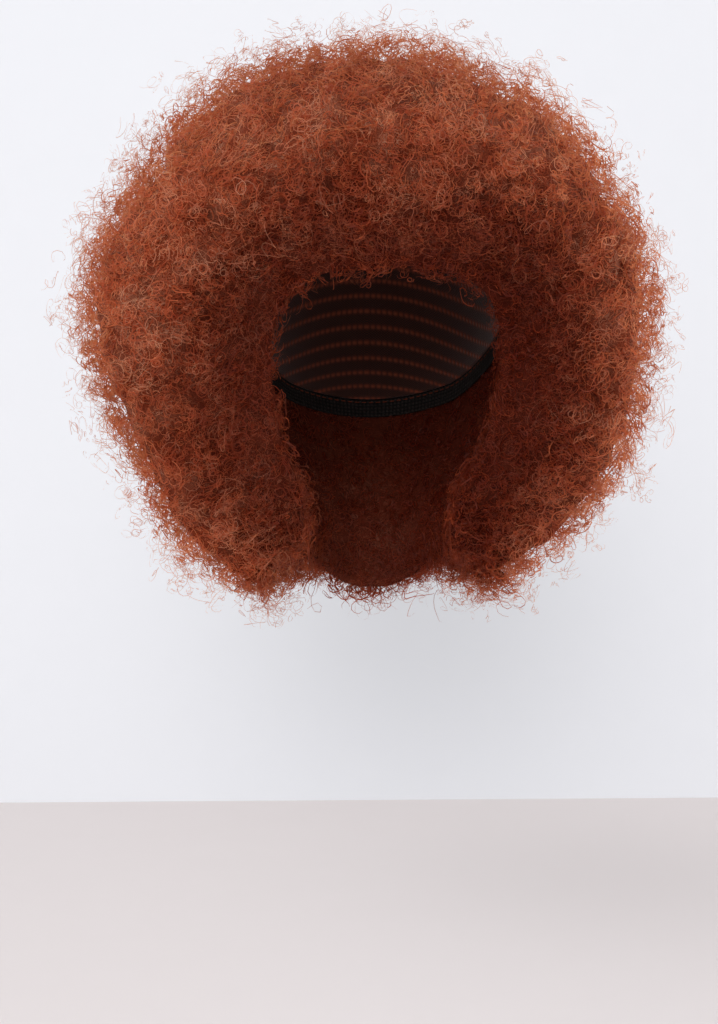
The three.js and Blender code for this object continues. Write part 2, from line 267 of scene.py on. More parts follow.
def smooth_read(table, key_column, value_column, keys):
    """A column of a table at given keys: a cubic through its rows that never overshoots them, whose
    slope at a row is the harmonic mean of the slopes beside it, or 0 where those differ in sign."""
    x = np.array(table[key_column], float)
    y = np.array(table[value_column], float)
    slope = np.diff(y) / np.diff(x)
    before, after = np.append(slope[0], slope), np.append(slope, slope[-1])
    same = before * after > 0
    tangent = np.where(same, 2 * before * after / np.where(same, before + after, 1), 0)
    row = np.clip(np.searchsorted(x, keys) - 1, 0, len(x) - 2)
    step = x[row + 1] - x[row]
    t = np.clip((keys - x[row]) / step, 0, 1)
    rise = 3 * t ** 2 - 2 * t ** 3
    leaving = (t ** 3 - 2 * t ** 2 + t) * step * tangent[row]
    arriving = (t ** 3 - t ** 2) * step * tangent[row + 1]
    return y[row] + (y[row + 1] - y[row]) * rise + leaving + arriving


def unit(v):
    """Vectors along the last axis, made one long."""
    return v / np.maximum(np.linalg.norm(v, axis=-1, keepdims=True), TINY)


def direction(polar, azimuth):
    """Unit vectors at polar degrees from straight up and azimuth degrees from straight ahead."""
    polar, azimuth = np.broadcast_arrays(np.radians(polar), np.radians(azimuth))
    side = np.sin(polar)
    return np.stack([side * np.sin(azimuth), -side * np.cos(azimuth), np.cos(polar)], -1)


def angle_between(a, b):
    """The angle between unit vectors along the last axis."""
    return np.arccos(np.clip((a * b).sum(-1), -1, 1))


def ellipsoid_radius(d, left, right, front, back, bottom, top):
    """The radius of an ellipsoid with a different reach to each of its six sides."""
    x = d[..., 0] / np.where(d[..., 0] < 0, left, right)
    y = d[..., 1] / np.where(d[..., 1] < 0, front, back)
    z = d[..., 2] / np.where(d[..., 2] < 0, bottom, top)
    return 1 / np.sqrt(x * x + y * y + z * z)


def head_radius(d):
    """How far the head and neck reach: the two radii joined by a power mean that favours the larger."""
    head = bpy.context.scene.wig_head
    half, neck_half = head.width / 2, head.neck_width / 2
    skull = ellipsoid_radius(d, half, half, head.front, head.back, head.jaw, head.crown)
    neck = ellipsoid_radius(d, neck_half, neck_half, head.neck_front, head.neck_back, np.inf,
                            head.neck_front)
    return skull * (1 + (neck / skull) ** head.neck_blend) ** (1 / head.neck_blend)


def outline_radius(d):
    """How far the hair would reach without its edge: an ellipsoid times the outline's shares, which
    are blended round the head by the squares of the sideways and lengthways parts."""
    hair = bpy.context.scene.wig_hair
    polar = np.degrees(np.arccos(np.clip(d[..., 2], -1, 1)))
    across, along = d[..., 0] ** 2, d[..., 1] ** 2
    side = np.where(d[..., 0] < 0, smooth_read(OUTLINE, "polar", "left", polar),
                    smooth_read(OUTLINE, "polar", "right", polar))
    end = np.where(d[..., 1] < 0, smooth_read(OUTLINE, "polar", "front", polar),
                   smooth_read(OUTLINE, "polar", "back", polar))
    blend = (side * across + end * along) / np.maximum(across + along, TINY)
    return blend * ellipsoid_radius(d, hair.left, hair.right, hair.front, hair.back, hair.bottom, hair.top)


def wig_middle():
    """The wig's middle, straight under the crown, from which every direction is taken."""
    return np.array([0, 0, -bpy.context.scene.wig_head.crown])


def way_round(turn):
    """The share of the way from the fringe to the nape at a turn, the same on both sides."""
    return 1 - np.abs(1 - 2 * (turn % 1))


def edge_direction(turn):
    """The direction of the hair's edge at a turn: 0 at the fringe, 0.5 at the nape, 1 at the fringe."""
    side = np.where(turn % 1 <= 0.5, 1, -1)
    polar = smooth_read(EDGE, "turn", "polar", way_round(turn))
    azimuth = smooth_read(EDGE, "turn", "azimuth", way_round(turn))
    return direction(polar, side * azimuth)


def hair_direction(reach, turn):
    """The direction a share of the way along the great circle from the whorl to the edge."""
    whorl, edge = direction(WHORL_POLAR, 180), edge_direction(turn)
    angle = angle_between(whorl, edge)[..., None]
    reach = np.asarray(reach)[..., None]
    return (np.sin((1 - reach) * angle) * whorl + np.sin(reach * angle) * edge) / np.sin(angle)


def lattice_hash(cells, seed):
    """A random number from 0 to 1 for each whole-numbered cell, by mixing its three numbers' bits."""
    x, y, z = (cells[..., i].astype(np.uint64) for i in range(3))
    h = x * np.uint64(73856093) ^ y * np.uint64(19349663) ^ z * np.uint64(83492791)
    h = h ^ np.uint64(seed * 9176 + 1)
    h = (h ^ (h >> np.uint64(13))) * np.uint64(0x5BD1E9955BD1E995)
    h = (h ^ (h >> np.uint64(29))) * np.uint64(0x27D4EB2F165667C5)
    return ((h ^ (h >> np.uint64(32))) & np.uint64(0xFFFFFF)).astype(float) / 0xFFFFFF


def lattice_noise(points, cell, seed):
    """Smooth noise from -1 to 1: random numbers at the corners of cells, blended across each cell."""
    q = points / cell + CELL_SHIFT
    base = np.floor(q).astype(np.int64)
    f = q - base
    f = f * f * (3 - 2 * f)
    total = 0
    for corner in np.ndindex(2, 2, 2):
        weight = np.prod(np.where(corner, f, 1 - f), axis=-1)
        total = total + weight * lattice_hash(base + np.array(corner), seed)
    return 2 * total - 1


def tufts(points, cell, seed):
    """The tuft that each point belongs to, as the nearest of one random centre in each cell. Returns
    the distance to it in cells, the vector to it, and its own random number."""
    q = points / cell + CELL_SHIFT
    base = np.floor(q).astype(np.int64)
    best = np.full(q.shape[:-1], np.inf)
    to_centre = np.zeros_like(q)
    label = np.zeros(q.shape[:-1])
    for offset in np.ndindex(3, 3, 3):
        home = base + np.array(offset) - 1
        centre = home + np.stack([lattice_hash(home, seed + i) for i in range(3)], -1)
        gap = centre - q
        distance = np.linalg.norm(gap, axis=-1)
        nearer = distance < best
        best = np.where(nearer, distance, best)
        to_centre = np.where(nearer[..., None], gap, to_centre)
        label = np.where(nearer, lattice_hash(home, seed + 3), label)
    return best, to_centre * cell, label


def hair_relief(points):
    """From 0 in the valleys between tufts to 1 on top of them: a bump that falls off by the square of
    the distance to the tuft's middle, higher on some tufts, with a slow unevenness."""
    hair = bpy.context.scene.wig_hair
    seed = bpy.context.scene.wig_curls.seed
    distance, _, label = tufts(points, hair.tuft_size, seed)
    bump = np.clip(1 - (distance / TUFT_REACH) ** 2, 0, 1)
    slow = lattice_noise(points, SLOW_CELL, seed + 9)
    return np.clip(0.75 * bump * (0.7 + 0.3 * label) + 0.25 + 0.3 * slow, 0, 1)


def hair_profile(outer_rows, round_rows, lip_rows, inner_rows, columns):
    """The closed surface of the hair as a grid of points, a meridian down each column: out over the
    hair from the whorl to where its rounding starts, round a quarter of an ellipse to its edge, in
    along a half-round lip, and back inside to the whorl. Returns the points, their directions and the
    hair's thickness."""
    hair = bpy.context.scene.wig_hair
    turn = np.arange(columns) / columns
    whorl = direction(WHORL_POLAR, 180)
    edge_angle = angle_between(whorl, edge_direction(turn))
    arc = edge_angle * outline_radius(whorl)
    rounding = hair.edge_round * smooth_read(EDGE, "turn", "round", way_round(turn)) / arc
    main = np.linspace(0, 1, outer_rows, endpoint=False)[:, None] * (1 - rounding)
    fall = np.linspace(math.pi / 2, 0, round_rows, endpoint=False)[:, None]
    curve = 1 - rounding * (1 - np.cos(fall))
    lip = np.linspace(0, math.pi, lip_rows)[:, None]
    lip_radius = hair.edge_thickness / 2
    bulge = 1 + np.sin(lip) * lip_radius / arc
    back = np.linspace(1, 0, inner_rows + 1)[1:, None] * np.ones(columns)
    reach = np.concatenate([main, curve, bulge, back])
    d = hair_direction(reach, np.broadcast_to(turn, reach.shape))
    inside = head_radius(d) + hair.inside_gap
    swell = np.concatenate([np.ones(main.shape), np.sin(fall) * np.ones(columns)])
    outer = len(swell)
    full = outline_radius(d[:outer]) - inside[:outer]
    height = np.hypot(full * swell, hair.edge_thickness)
    lip_height = lip_radius * (1 + np.cos(lip)) * np.ones(columns)
    thickness = np.concatenate([height, lip_height, np.zeros(back.shape)])
    return wig_middle() + d * (inside + thickness)[..., None], d, thickness


def edge_shade(thickness, d):
    """How light the hair is: darkest at its thin edge, where little light comes, and more so on the
    side away from the main light, rising to 1 where it is thick by three times the square less twice
    the cube of the way there, to a power that is larger on the far side."""
    away = np.clip(3 * d[..., 0], 0, 1)
    darkest = EDGE_LIGHT + (FAR_EDGE_LIGHT - EDGE_LIGHT) * away
    x = np.clip((thickness - SHADE_FROM) / SHADE_OVER, 0, 1)
    return darkest + (1 - darkest) * (x * x * (3 - 2 * x)) ** (1 + 0.5 * away)


def grid_normals(points):
    """Unit normals of a grid whose columns close on themselves, from the differences across each
    point."""
    down = np.gradient(points, axis=0)
    across = np.roll(points, -1, 1) - np.roll(points, 1, 1)
    return unit(np.cross(down, across))


def near_bottom(d):
    """From 0 to 1 as directions near straight down, where the hair's lower edge is."""
    return np.clip((-d[..., 2] - 0.75) / 0.15, 0, 1)


def new_piece(name, vertices, faces, material):
    """A finished piece at the origin that rides on the wig's one body."""
    mesh = bpy.data.meshes.new(name)
    mesh.from_pydata(vertices.reshape(-1, 3), [], faces)
    mesh.polygons.foreach_set("use_smooth", np.ones(len(mesh.polygons), bool))
    mesh.materials.append(material)
    piece = bpy.data.objects.new(name, mesh)
    bpy.context.scene.collection.objects.link(piece)
    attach(piece, "root")
    return piece


def quad_grid(rows, columns, wrap=True):
    """Quads between the rows and columns of a grid of points, closing round the columns if wrapped."""
    across = columns if wrap else columns - 1
    r, c = np.meshgrid(np.arange(rows - 1), np.arange(across), indexing="ij")
    following = (c + 1) % columns
    return np.stack([r * columns + c, (r + 1) * columns + c, (r + 1) * columns + following,
                     r * columns + following], -1).reshape(-1, 4)


def set_point_values(piece, name, values):
    """Stores one number for each vertex under a name that materials can read."""
    attribute = piece.data.attributes.new(name, "FLOAT", "POINT")
    attribute.data.foreach_set("value", np.ascontiguousarray(values, np.float32).ravel())


def set_bake_map(piece, corners):
    """Gives the piece a map with one place in the unit square for each corner of its faces."""
    layer = piece.data.uv_layers.new(name="OFBake")
    layer.data.foreach_set("uv", np.ascontiguousarray(corners, np.float32).ravel())


class NodeDesk:
    """A material's node tree with short calls to add nodes and join them."""

    def __init__(self, name):
        self.material = bpy.data.materials.new(name)
        self.material.use_nodes = True
        self.tree = self.material.node_tree
        self.tree.nodes.clear()

    def add(self, kind, values=None, **settings):
        """A node with its settings, and its sockets set or joined by name or number."""
        node = self.tree.nodes.new("ShaderNode" + kind)
        for key, value in settings.items():
            setattr(node, key, value)
        for key, value in (values or {}).items():
            self.put(node, key, value)
        return node

    def put(self, node, key, value):
        """Joins an output to a socket, or sets the socket's own value."""
        if isinstance(value, bpy.types.NodeSocket):
            self.tree.links.new(value, node.inputs[key])
        else:
            node.inputs[key].default_value = value

    def maths(self, operation, *values):
        """The result of a Math node."""
        return self.add("Math", dict(enumerate(values)), operation=operation).outputs[0]

    def mix(self, factor, first, second):
        """Two colours mixed by a factor."""
        node = self.add("Mix", {0: factor, 6: first, 7: second}, data_type="RGBA")
        return node.outputs[2]

    def ramp(self, factor, stops):
        """A colour ramp with (place, colour) stops."""
        node = self.add("ValToRGB", {0: factor})
        elements = node.color_ramp.elements
        while len(elements) < len(stops):
            elements.new(1)
        for element, (place, tint) in zip(elements, stops):
            element.position = place
            element.color = (*tint, 1)
        return node.outputs[0]

    def attribute(self, name):
        """A number stored on the piece's vertices."""
        return self.add("Attribute", attribute_name=name).outputs["Fac"]

    def object_point(self):
        """Coordinates fixed to the piece, in metres."""
        return self.add("TexCoord").outputs["Object"]

    def noise(self, point, scale, detail=2.0, distortion=0.0):
        """Noise from 0 to 1 at that many cells to the metre."""
        sockets = {"Vector": point, "Scale": scale, "Detail": detail, "Distortion": distortion}
        return self.add("TexNoise", sockets).outputs["Fac"]

    def ridges(self, value, pitch):
        """Ridges a pitch apart: the size of a sine wave, 0 to 1."""
        return self.maths("ABSOLUTE", self.maths("SINE", self.maths("MULTIPLY", value, math.pi / pitch)))

    def cloth_place(self):
        """How far across and down the flat cloth a point lies, in metres, from the piece's own map."""
        place = self.add("SeparateXYZ", {0: self.add("UVMap", uv_map="cloth").outputs[0]})
        return place.outputs[0], place.outputs[1]

    def finish(self, shader):
        """Joins the shader to the surface and hands over the material."""
        self.tree.links.new(shader.outputs[0], self.add("OutputMaterial").inputs["Surface"])
        return self.material


def scaled(tint, factor):
    """A colour times a factor, with no part over 1."""
    return tuple(min(1.0, part * factor) for part in tint)


def made_once(name, make):
    """The material of a name, made the first time that it is asked for."""
    return bpy.data.materials.get(name) or make()


def hair_shader(desk, tint, glow, through):
    """A strand's shader: a soft dull gloss, with a share of the light passing through."""
    surface = desk.add("BsdfPrincipled", {
        "Base Color": tint, "Roughness": 0.45, "Specular IOR Level": 0.16})
    back_light = desk.add("BsdfTranslucent", {"Color": glow})
    return desk.add("MixShader", {0: through, 1: surface.outputs[0], 2: back_light.outputs[0]})


def strand_material():
    """Strands: dark at the root and lighter to the end by painted shade, each with a tone of its own."""
    hair = bpy.context.scene.wig_hair
    desk = NodeDesk("hair_strands")
    tone = desk.attribute("tone")
    # The darkest tones are painted shade on deep strands, and the lightest are partly a painted highlight
    own = desk.ramp(tone, [(0, scaled(hair.body_colour, 0.55)), (0.5, hair.body_colour),
                           (1, hair.light_tone_and_highlight_colour)])
    patch = desk.noise(desk.object_point(), 28)
    uneven = desk.mix(desk.maths("MULTIPLY", patch, 0.35), own, (*scaled(hair.body_colour, 0.6), 1))
    # The depth value mixes painted shade into the colour and into the light that comes through
    depth = desk.attribute("depth")
    tint = desk.mix(depth, (*hair.painted_shade_colour, 1), uneven)
    glow = desk.mix(depth, (*hair.body_colour, 1), (*hair.glow_colour, 1))
    return desk.finish(hair_shader(desk, tint, glow, 0.5))


def curl_lines(desk, point, scale, lines):
    """Fine lines that close into loops, as curls do: the contour lines of a smooth noise. 0 to 1."""
    level = desk.noise(point, scale, detail=1.0, distortion=0.3)
    wave = desk.maths("SINE", desk.maths("MULTIPLY", level, lines * TAU))
    return desk.maths("POWER", desk.maths("MULTIPLY_ADD", wave, 0.5, 0.5), 2.0)


def underhair_material():
    """The dense underhair: three crossing sets of fine looping lines over dark depths of painted shade, in
    patches.
    """
    hair = bpy.context.scene.wig_hair
    desk = NodeDesk("underhair")
    point = desk.object_point()
    lines = 0
    for scale, count, shift, strength in LINE_SETS:
        moved = desk.add("Mapping", {"Vector": point, "Location": (shift, 2 * shift, -shift)}).outputs[0]
        one_set = desk.maths("MULTIPLY", curl_lines(desk, moved, scale, count), strength)
        lines = desk.maths("MAXIMUM", lines, one_set)
    patch = desk.noise(point, 60, detail=3)
    level = desk.maths("MULTIPLY", lines, desk.maths("MULTIPLY_ADD", patch, 1.1, 0.25))
    # Painted shade between and under the curl lines, darker than the strands over them, with a painted
    # highlight on the lines' tops
    own = desk.ramp(level, [(0, scaled(hair.painted_shade_colour, 1.2)), (0.5, scaled(hair.body_colour, 0.62)),
                            (1, scaled(hair.light_tone_and_highlight_colour, 0.6))])
    # The depth value mixes in painted shade
    depth = desk.attribute("depth")
    tint = desk.mix(depth, (*hair.painted_shade_colour, 1), own)
    bump = desk.add("Bump", {"Strength": 0.8, "Distance": 0.0008, "Height": lines})
    return desk.finish(desk.add("BsdfPrincipled", {
        "Base Color": tint, "Roughness": 0.8, "Specular IOR Level": 0.06, "Normal": bump.outputs[0]}))


def net_material():
    """The cap: a fine dark net of two slanting sets of threads, with rows of sewn hair, each the
    exponential of minus the square of the distance from its middle, all on the piece's own map."""
    cap = bpy.context.scene.wig_cap
    desk = NodeDesk("sewn_net")
    across, down = desk.cloth_place()
    slants = (desk.maths("ADD", across, down), desk.maths("SUBTRACT", across, down))
    thread = desk.maths("MAXIMUM", *[desk.maths("POWER", desk.ridges(slant, THREAD_PITCH), 6.0)
                                     for slant in slants])
    row = desk.maths("FRACT", desk.maths("MULTIPLY", down, 1 / cap.weft_spacing))
    off_row = desk.maths("POWER", desk.maths("SUBTRACT", row, 0.5), 2.0)
    weft = desk.maths("EXPONENT", desk.maths("MULTIPLY", off_row, -0.5 / WEFT_SOFTNESS ** 2))
    stitch = desk.ridges(across, STITCH_PITCH)
    sewn = desk.mix(stitch, (*scaled(cap.weft_colour, 0.35), 1), (*cap.weft_colour, 1))
    ground = desk.mix(thread, (*scaled(cap.weft_colour, 0.3), 1), (*cap.net_colour, 1))
    tint = desk.mix(weft, ground, sewn)
    height = desk.maths("MAXIMUM", desk.maths("MULTIPLY", thread, 0.4),
                        desk.maths("MULTIPLY", weft, stitch))
    bump = desk.add("Bump", {"Strength": 0.8, "Distance": 0.0004, "Height": height})
    return desk.finish(desk.add("BsdfPrincipled", {
        "Base Color": tint, "Roughness": 0.85, "Specular IOR Level": 0.2, "Sheen Weight": 0.2,
        "Normal": bump.outputs[0]}))


def elastic_material():
    """Elastic edging: ribs across and rows along a dull black band, with brown stitches near its upper
    edge."""
    cap = bpy.context.scene.wig_cap
    desk = NodeDesk("elastic")
    across, down = desk.cloth_place()
    rib = desk.ridges(across, RIB_PITCH)
    rows = desk.ridges(down, ROW_PITCH)
    lint = desk.noise(desk.object_point(), 700, detail=3)
    # Painted highlight on the crests of the ribs and rows, made uneven by lint
    lit = desk.maths("MULTIPLY", desk.maths("MULTIPLY", desk.maths("POWER", rib, 2.0), rows),
                     desk.maths("MULTIPLY", lint, 1.6))
    cloth = desk.mix(lit, (*cap.band_colour, 1), (*scaled(cap.band_colour, 6), 1))
    seam = desk.maths("ABSOLUTE", desk.maths("SUBTRACT", down, SEAM_PLACE))
    on_seam = desk.maths("LESS_THAN", seam, SEAM_WIDTH / 2)
    dash = desk.maths("LESS_THAN", desk.maths("FRACT", desk.maths("MULTIPLY", across, 1 / DASH_PITCH)),
                      DASH_SHARE)
    stitch = desk.maths("MULTIPLY", on_seam, dash)
    tint = desk.mix(stitch, cloth, (*scaled(cap.weft_colour, 0.6), 1))
    height = desk.maths("ADD", desk.maths("MULTIPLY", rib, rows), desk.maths("MULTIPLY", stitch, 0.8))
    bump = desk.add("Bump", {"Strength": 1.0, "Distance": 0.0006, "Height": height})
    return desk.finish(desk.add("BsdfPrincipled", {
        "Base Color": tint, "Roughness": 0.8, "Specular IOR Level": 0.15, "Normal": bump.outputs[0]}))


def stage_material(name, tint, roughness, shade_level, place, spread):
    """A plain matt surface with a faint unevenness, and a soft shade that falls off round a place, as
    the exponential of minus the square of the distance."""
    desk = NodeDesk(name)
    point = desk.object_point()
    patch = desk.noise(point, 6, detail=3)
    shade = desk.mix(desk.maths("MULTIPLY", patch, 0.25), (*tint, 1), (*scaled(tint, 0.93), 1))
    away = desk.add("VectorMath", {0: point, 1: tuple(place)}, operation="DISTANCE").outputs["Value"]
    fall = desk.maths("EXPONENT", desk.maths("MULTIPLY", desk.maths("POWER", away, 2.0), -1 / spread ** 2))
    shade = desk.mix(fall, shade, (*scaled(tint, shade_level), 1))
    return desk.finish(desk.add("BsdfPrincipled", {"Base Color": shade, "Roughness": roughness,
                                                   "Specular IOR Level": 0.2}))


def under_hair_depth(relief, thickness):
    """How far the underhair lies under the outline: deeper between tufts, and never more than a share
    of the hair's thickness."""
    hair = bpy.context.scene.wig_hair
    return np.minimum(hair.under_depth + hair.tuft_depth * (1 - relief), DEPTH_SHARE * thickness)


def make_underhair():
    """The dense underhair, one closed surface from the whorl out to the edge and back inside: the
    hair's own surface sunk by the underhair's depth and made uneven where the hair isn't thin."""
    seed = bpy.context.scene.wig_curls.seed
    columns = UNDERHAIR_GRID["columns"]
    points, d, thickness = hair_profile(**UNDERHAIR_GRID)
    normals = grid_normals(points)
    relief = hair_relief(points - wig_middle())
    points = points - normals * under_hair_depth(relief, thickness)[..., None]
    rough = sum(height * lattice_noise(points, cell, seed + 20 + layer)
                for layer, (height, cell) in enumerate(UNEVENNESS))
    shown = np.clip(thickness / FULL_UNEVEN, 0, 1)
    points = points + normals * (rough * shown)[..., None]
    rows = len(points)
    poles = points[[0, -1]].mean(1)
    body = points[1:-1]
    vertices = np.concatenate([poles[:1], body.reshape(-1, 3), poles[1:]])
    quads = quad_grid(rows - 2, columns) + 1
    ring = np.arange(columns)
    following = (ring + 1) % columns
    last = 1 + (rows - 3) * columns
    top = np.stack([np.zeros(columns, int), 1 + ring, 1 + following], -1)
    bottom = np.stack([last + following, last + ring, np.full(columns, len(vertices) - 1)], -1)
    faces = top.tolist() + quads.tolist() + bottom.tolist()
    piece = new_piece("underhair", vertices, faces, underhair_material())
    # The depth value is painted shade: darker in the valleys between tufts and at the hair's thin edge
    depth = np.clip(0.3 + 0.6 * relief, 0, 1) * edge_shade(thickness, d)
    set_point_values(piece, "depth", np.concatenate([depth[:1, 0], depth[1:-1].ravel(), depth[-1:, 0]]))
    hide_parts(*HAIR_NODES)


def spots_on_hair(random, index):
    """Random places for one piece's wisps over the outside, the edge and the inside under the cap's
    rim, closer together where the hair is thin, and most so along its lower edge. The area is cut into
    as many equal parts, in the order of the grid's cells, as all pieces have wisps, and the pieces take
    the parts in turn, one place in each. Returns points, outward normals, directions and the thickness
    of hair there."""
    curls = bpy.context.scene.wig_curls
    count = curls.wisps
    columns = SPOT_GRID["columns"]
    points, d, thickness = hair_profile(**SPOT_GRID)
    normals = grid_normals(points)
    polar = np.degrees(np.arccos(np.clip(d[..., 2], -1, 1)))
    azimuth = np.degrees(np.arctan2(np.abs(d[..., 0]), -d[..., 1]))
    under_cap = (thickness < NO_HAIR) & (polar < smooth_read(RIM, "azimuth", "polar", azimuth) + 4)
    across = np.roll(points, -1, 1)[:-1] - points[:-1]
    area = np.linalg.norm(np.cross(across, points[1:] - points[:-1]), axis=-1)
    # 2.5 times as close where the hair is under 3 cm thick, and 3.5 times along the lower edge
    thin = np.clip((0.07 - thickness[:-1]) / 0.04, 0, 1)
    area = np.where(under_cap[:-1], 0, area * (1 + (1.5 + near_bottom(d[:-1])) * thin))
    part = (np.arange(count) * curls.pieces + index + random.random(count)) / (count * curls.pieces)
    chosen = np.searchsorted(np.cumsum(area) / area.sum(), part)
    row, column = np.divmod(np.minimum(chosen, area.size - 1), columns)
    beside = (column + 1) % columns
    v, u = random.random((2, count, 1))

    def blend(values):
        """Values at the chosen places, blended from the four corners of the cell."""
        values = values if values.ndim == 3 else values[..., None]
        return ((values[row, column] * (1 - u) + values[row, beside] * u) * (1 - v)
                + (values[row + 1, column] * (1 - u) + values[row + 1, beside] * u) * v)

    return blend(points), unit(blend(normals)), unit(blend(d)), blend(thickness)[:, 0]


def any_direction(random, count):
    """Random unit vectors."""
    return unit(random.normal(size=(count, 3)))


def strand_paths(random, index):
    """The middle lines of one piece's strands, as an array of strands by steps by coordinates. A
    strand's heading is a drift along its wisp's axis, which fades towards its end so that the end
    curls in place, plus a unit vector that turns in the wisp's curl plane, by a steady angle, a wave
    and a small random walk, plus a wave out of that plane. The line adds the headings up and is moved
    so that its furthest point stands out from the underhair by a random share of the lift and a random
    height, less of both where the hair is thin. The height is the fuzz times a power of one minus the
    square root of a random number, so that the hair thins out towards the air. Also returns each
    strand's outward normal, its tuft's number, how deep it lies, its tuft's relief and its shade."""
    scene = bpy.context.scene
    hair, curls = scene.wig_hair, scene.wig_curls
    wisps, members, steps = curls.wisps, curls.strands, curls.steps
    spot, normal, d, thickness = spots_on_hair(random, index)
    inner = thickness < NO_HAIR
    from_middle = spot - wig_middle()
    distance, to_tuft, label = tufts(from_middle, hair.tuft_size, curls.seed)
    relief = hair_relief(from_middle)
    axis = unit(OUTWARD_LEAN * normal + any_direction(random, wisps)
                + TUFT_PULL * unit(to_tuft) * distance[:, None])
    facing = unit(normal + 0.8 * any_direction(random, wisps))
    loop = np.where((random.random(wisps) < FACING_SHARE)[:, None], facing, any_direction(random, wisps))
    first = unit(np.cross(loop, any_direction(random, wisps)))
    second = np.cross(loop, first)
    looseness = random.random(wisps) ** TIGHT_POWER
    radius = curls.tightest + (curls.loosest - curls.tightest) * looseness
    radius = np.where(inner, np.minimum(radius, INSIDE_CURL), radius)
    drift = 0.15 + 0.45 * random.random(wisps)
    turn_step = 0.95 - 0.35 * looseness
    start_angle, sway_start = random.random((2, wisps)) * TAU
    sway = 0.15 + 0.5 * random.random(wisps)
    sway_rate = 0.3 + 0.5 * random.random(wisps)
    level = random.random(wisps)
    share = 0.15 + 0.85 * np.sqrt(random.random(wisps))

    def shared(values, jitter=0.0):
        """A wisp's values for each of its strands, each a little different."""
        spread = np.repeat(values, members, 0)
        return spread * (1 + jitter * random.normal(size=spread.shape)) if jitter else spread

    count = wisps * members
    k = np.arange(steps)
    phase = shared(sway_rate, 0.05)[:, None] * k + shared(sway_start)[:, None]
    stagger = (0.5 * random.normal(size=(count, 1))
               + np.cumsum(0.18 * random.normal(size=(count, steps)), 1))
    angle = (shared(start_angle)[:, None] + shared(turn_step, 0.08)[:, None] * k
             + shared(sway)[:, None] * np.sin(phase) + stagger)
    stride = (shared(radius, 0.2) * shared(turn_step))[:, None, None]
    own_axis = unit(shared(axis) + 0.3 * random.normal(size=(count, 3)))
    fade = np.sqrt(1 - k / steps)
    heading = ((shared(drift, 0.1)[:, None] * fade)[..., None] * own_axis[:, None]
               + np.cos(angle)[..., None] * shared(first)[:, None]
               + np.sin(angle)[..., None] * shared(second)[:, None]
               + (0.3 * np.cos(1.7 * phase))[..., None] * shared(loop)[:, None])
    line = np.cumsum(heading * stride, 1)
    outward = shared(normal)
    climb = (line * outward[:, None]).sum(-1)
    line = line - outward[:, None] * climb.max(1)[:, None, None]
    room = shared(np.clip(thickness / FULL_ROOM, 0.25 + 0.25 * near_bottom(d), 1))
    level = np.clip(shared(level) + 0.1 * random.normal(size=count), 0, 1)
    height = curls.fuzz * (1 - np.sqrt(1 - level)) ** FUZZ_POWER
    deep = np.clip(1 - height / DEEP_UNDER, 0, 1)
    lift = curls.lift * shared(share, 0.1)
    rise = room * (lift + height) - shared(under_hair_depth(relief, thickness))
    rise = np.where(shared(inner), INSIDE_RISE * random.random(count), rise)
    offset = random.normal(size=(count, 3)) * WISP_SPREAD
    base = shared(spot) + offset + outward * rise[:, None]
    shade = shared(edge_shade(thickness, d))
    return base[:, None] + line, outward, shared(label), deep, shared(relief), shade


def keep_in_reach(line):
    """Moves each strand whole, so that no point of it stands out of the solids' box by more than the
    reach."""
    reach = bpy.context.scene.wig_curls.reach
    low, high = (np.array(corner) for corner in CAD_BOX)
    under = np.minimum(line.min(1) - (low - reach), 0)
    over = np.maximum(line.max(1) - (high + reach), 0)
    return line - (under + over)[:, None]


def keep_off_head(points):
    """Moves points that would lie in the head out to it: in the neck straight sideways, by the share of
    an ellipse that they lie at, and in the skull away from its middle, by the share of an ellipsoid."""
    head = bpy.context.scene.wig_head
    d = points - wig_middle()
    neck_end = np.where(d[..., 1] < 0, head.neck_front, head.neck_back)
    neck = np.hypot(d[..., 0] / (head.neck_width / 2), d[..., 1] / neck_end)
    out = np.where(d[..., 2] < 0, np.maximum(1, NECK_ROOM / np.maximum(neck, 0.05)), 1)
    d = d * np.stack([out, out, np.ones_like(out)], -1)
    reach = np.linalg.norm(d, axis=-1)
    half = head.width / 2
    skull = ellipsoid_radius(d / reach[..., None], half, half, head.front, head.back, head.jaw, head.crown)
    return wig_middle() + d * np.maximum(1, (skull + SKULL_GAP) / reach)[..., None]


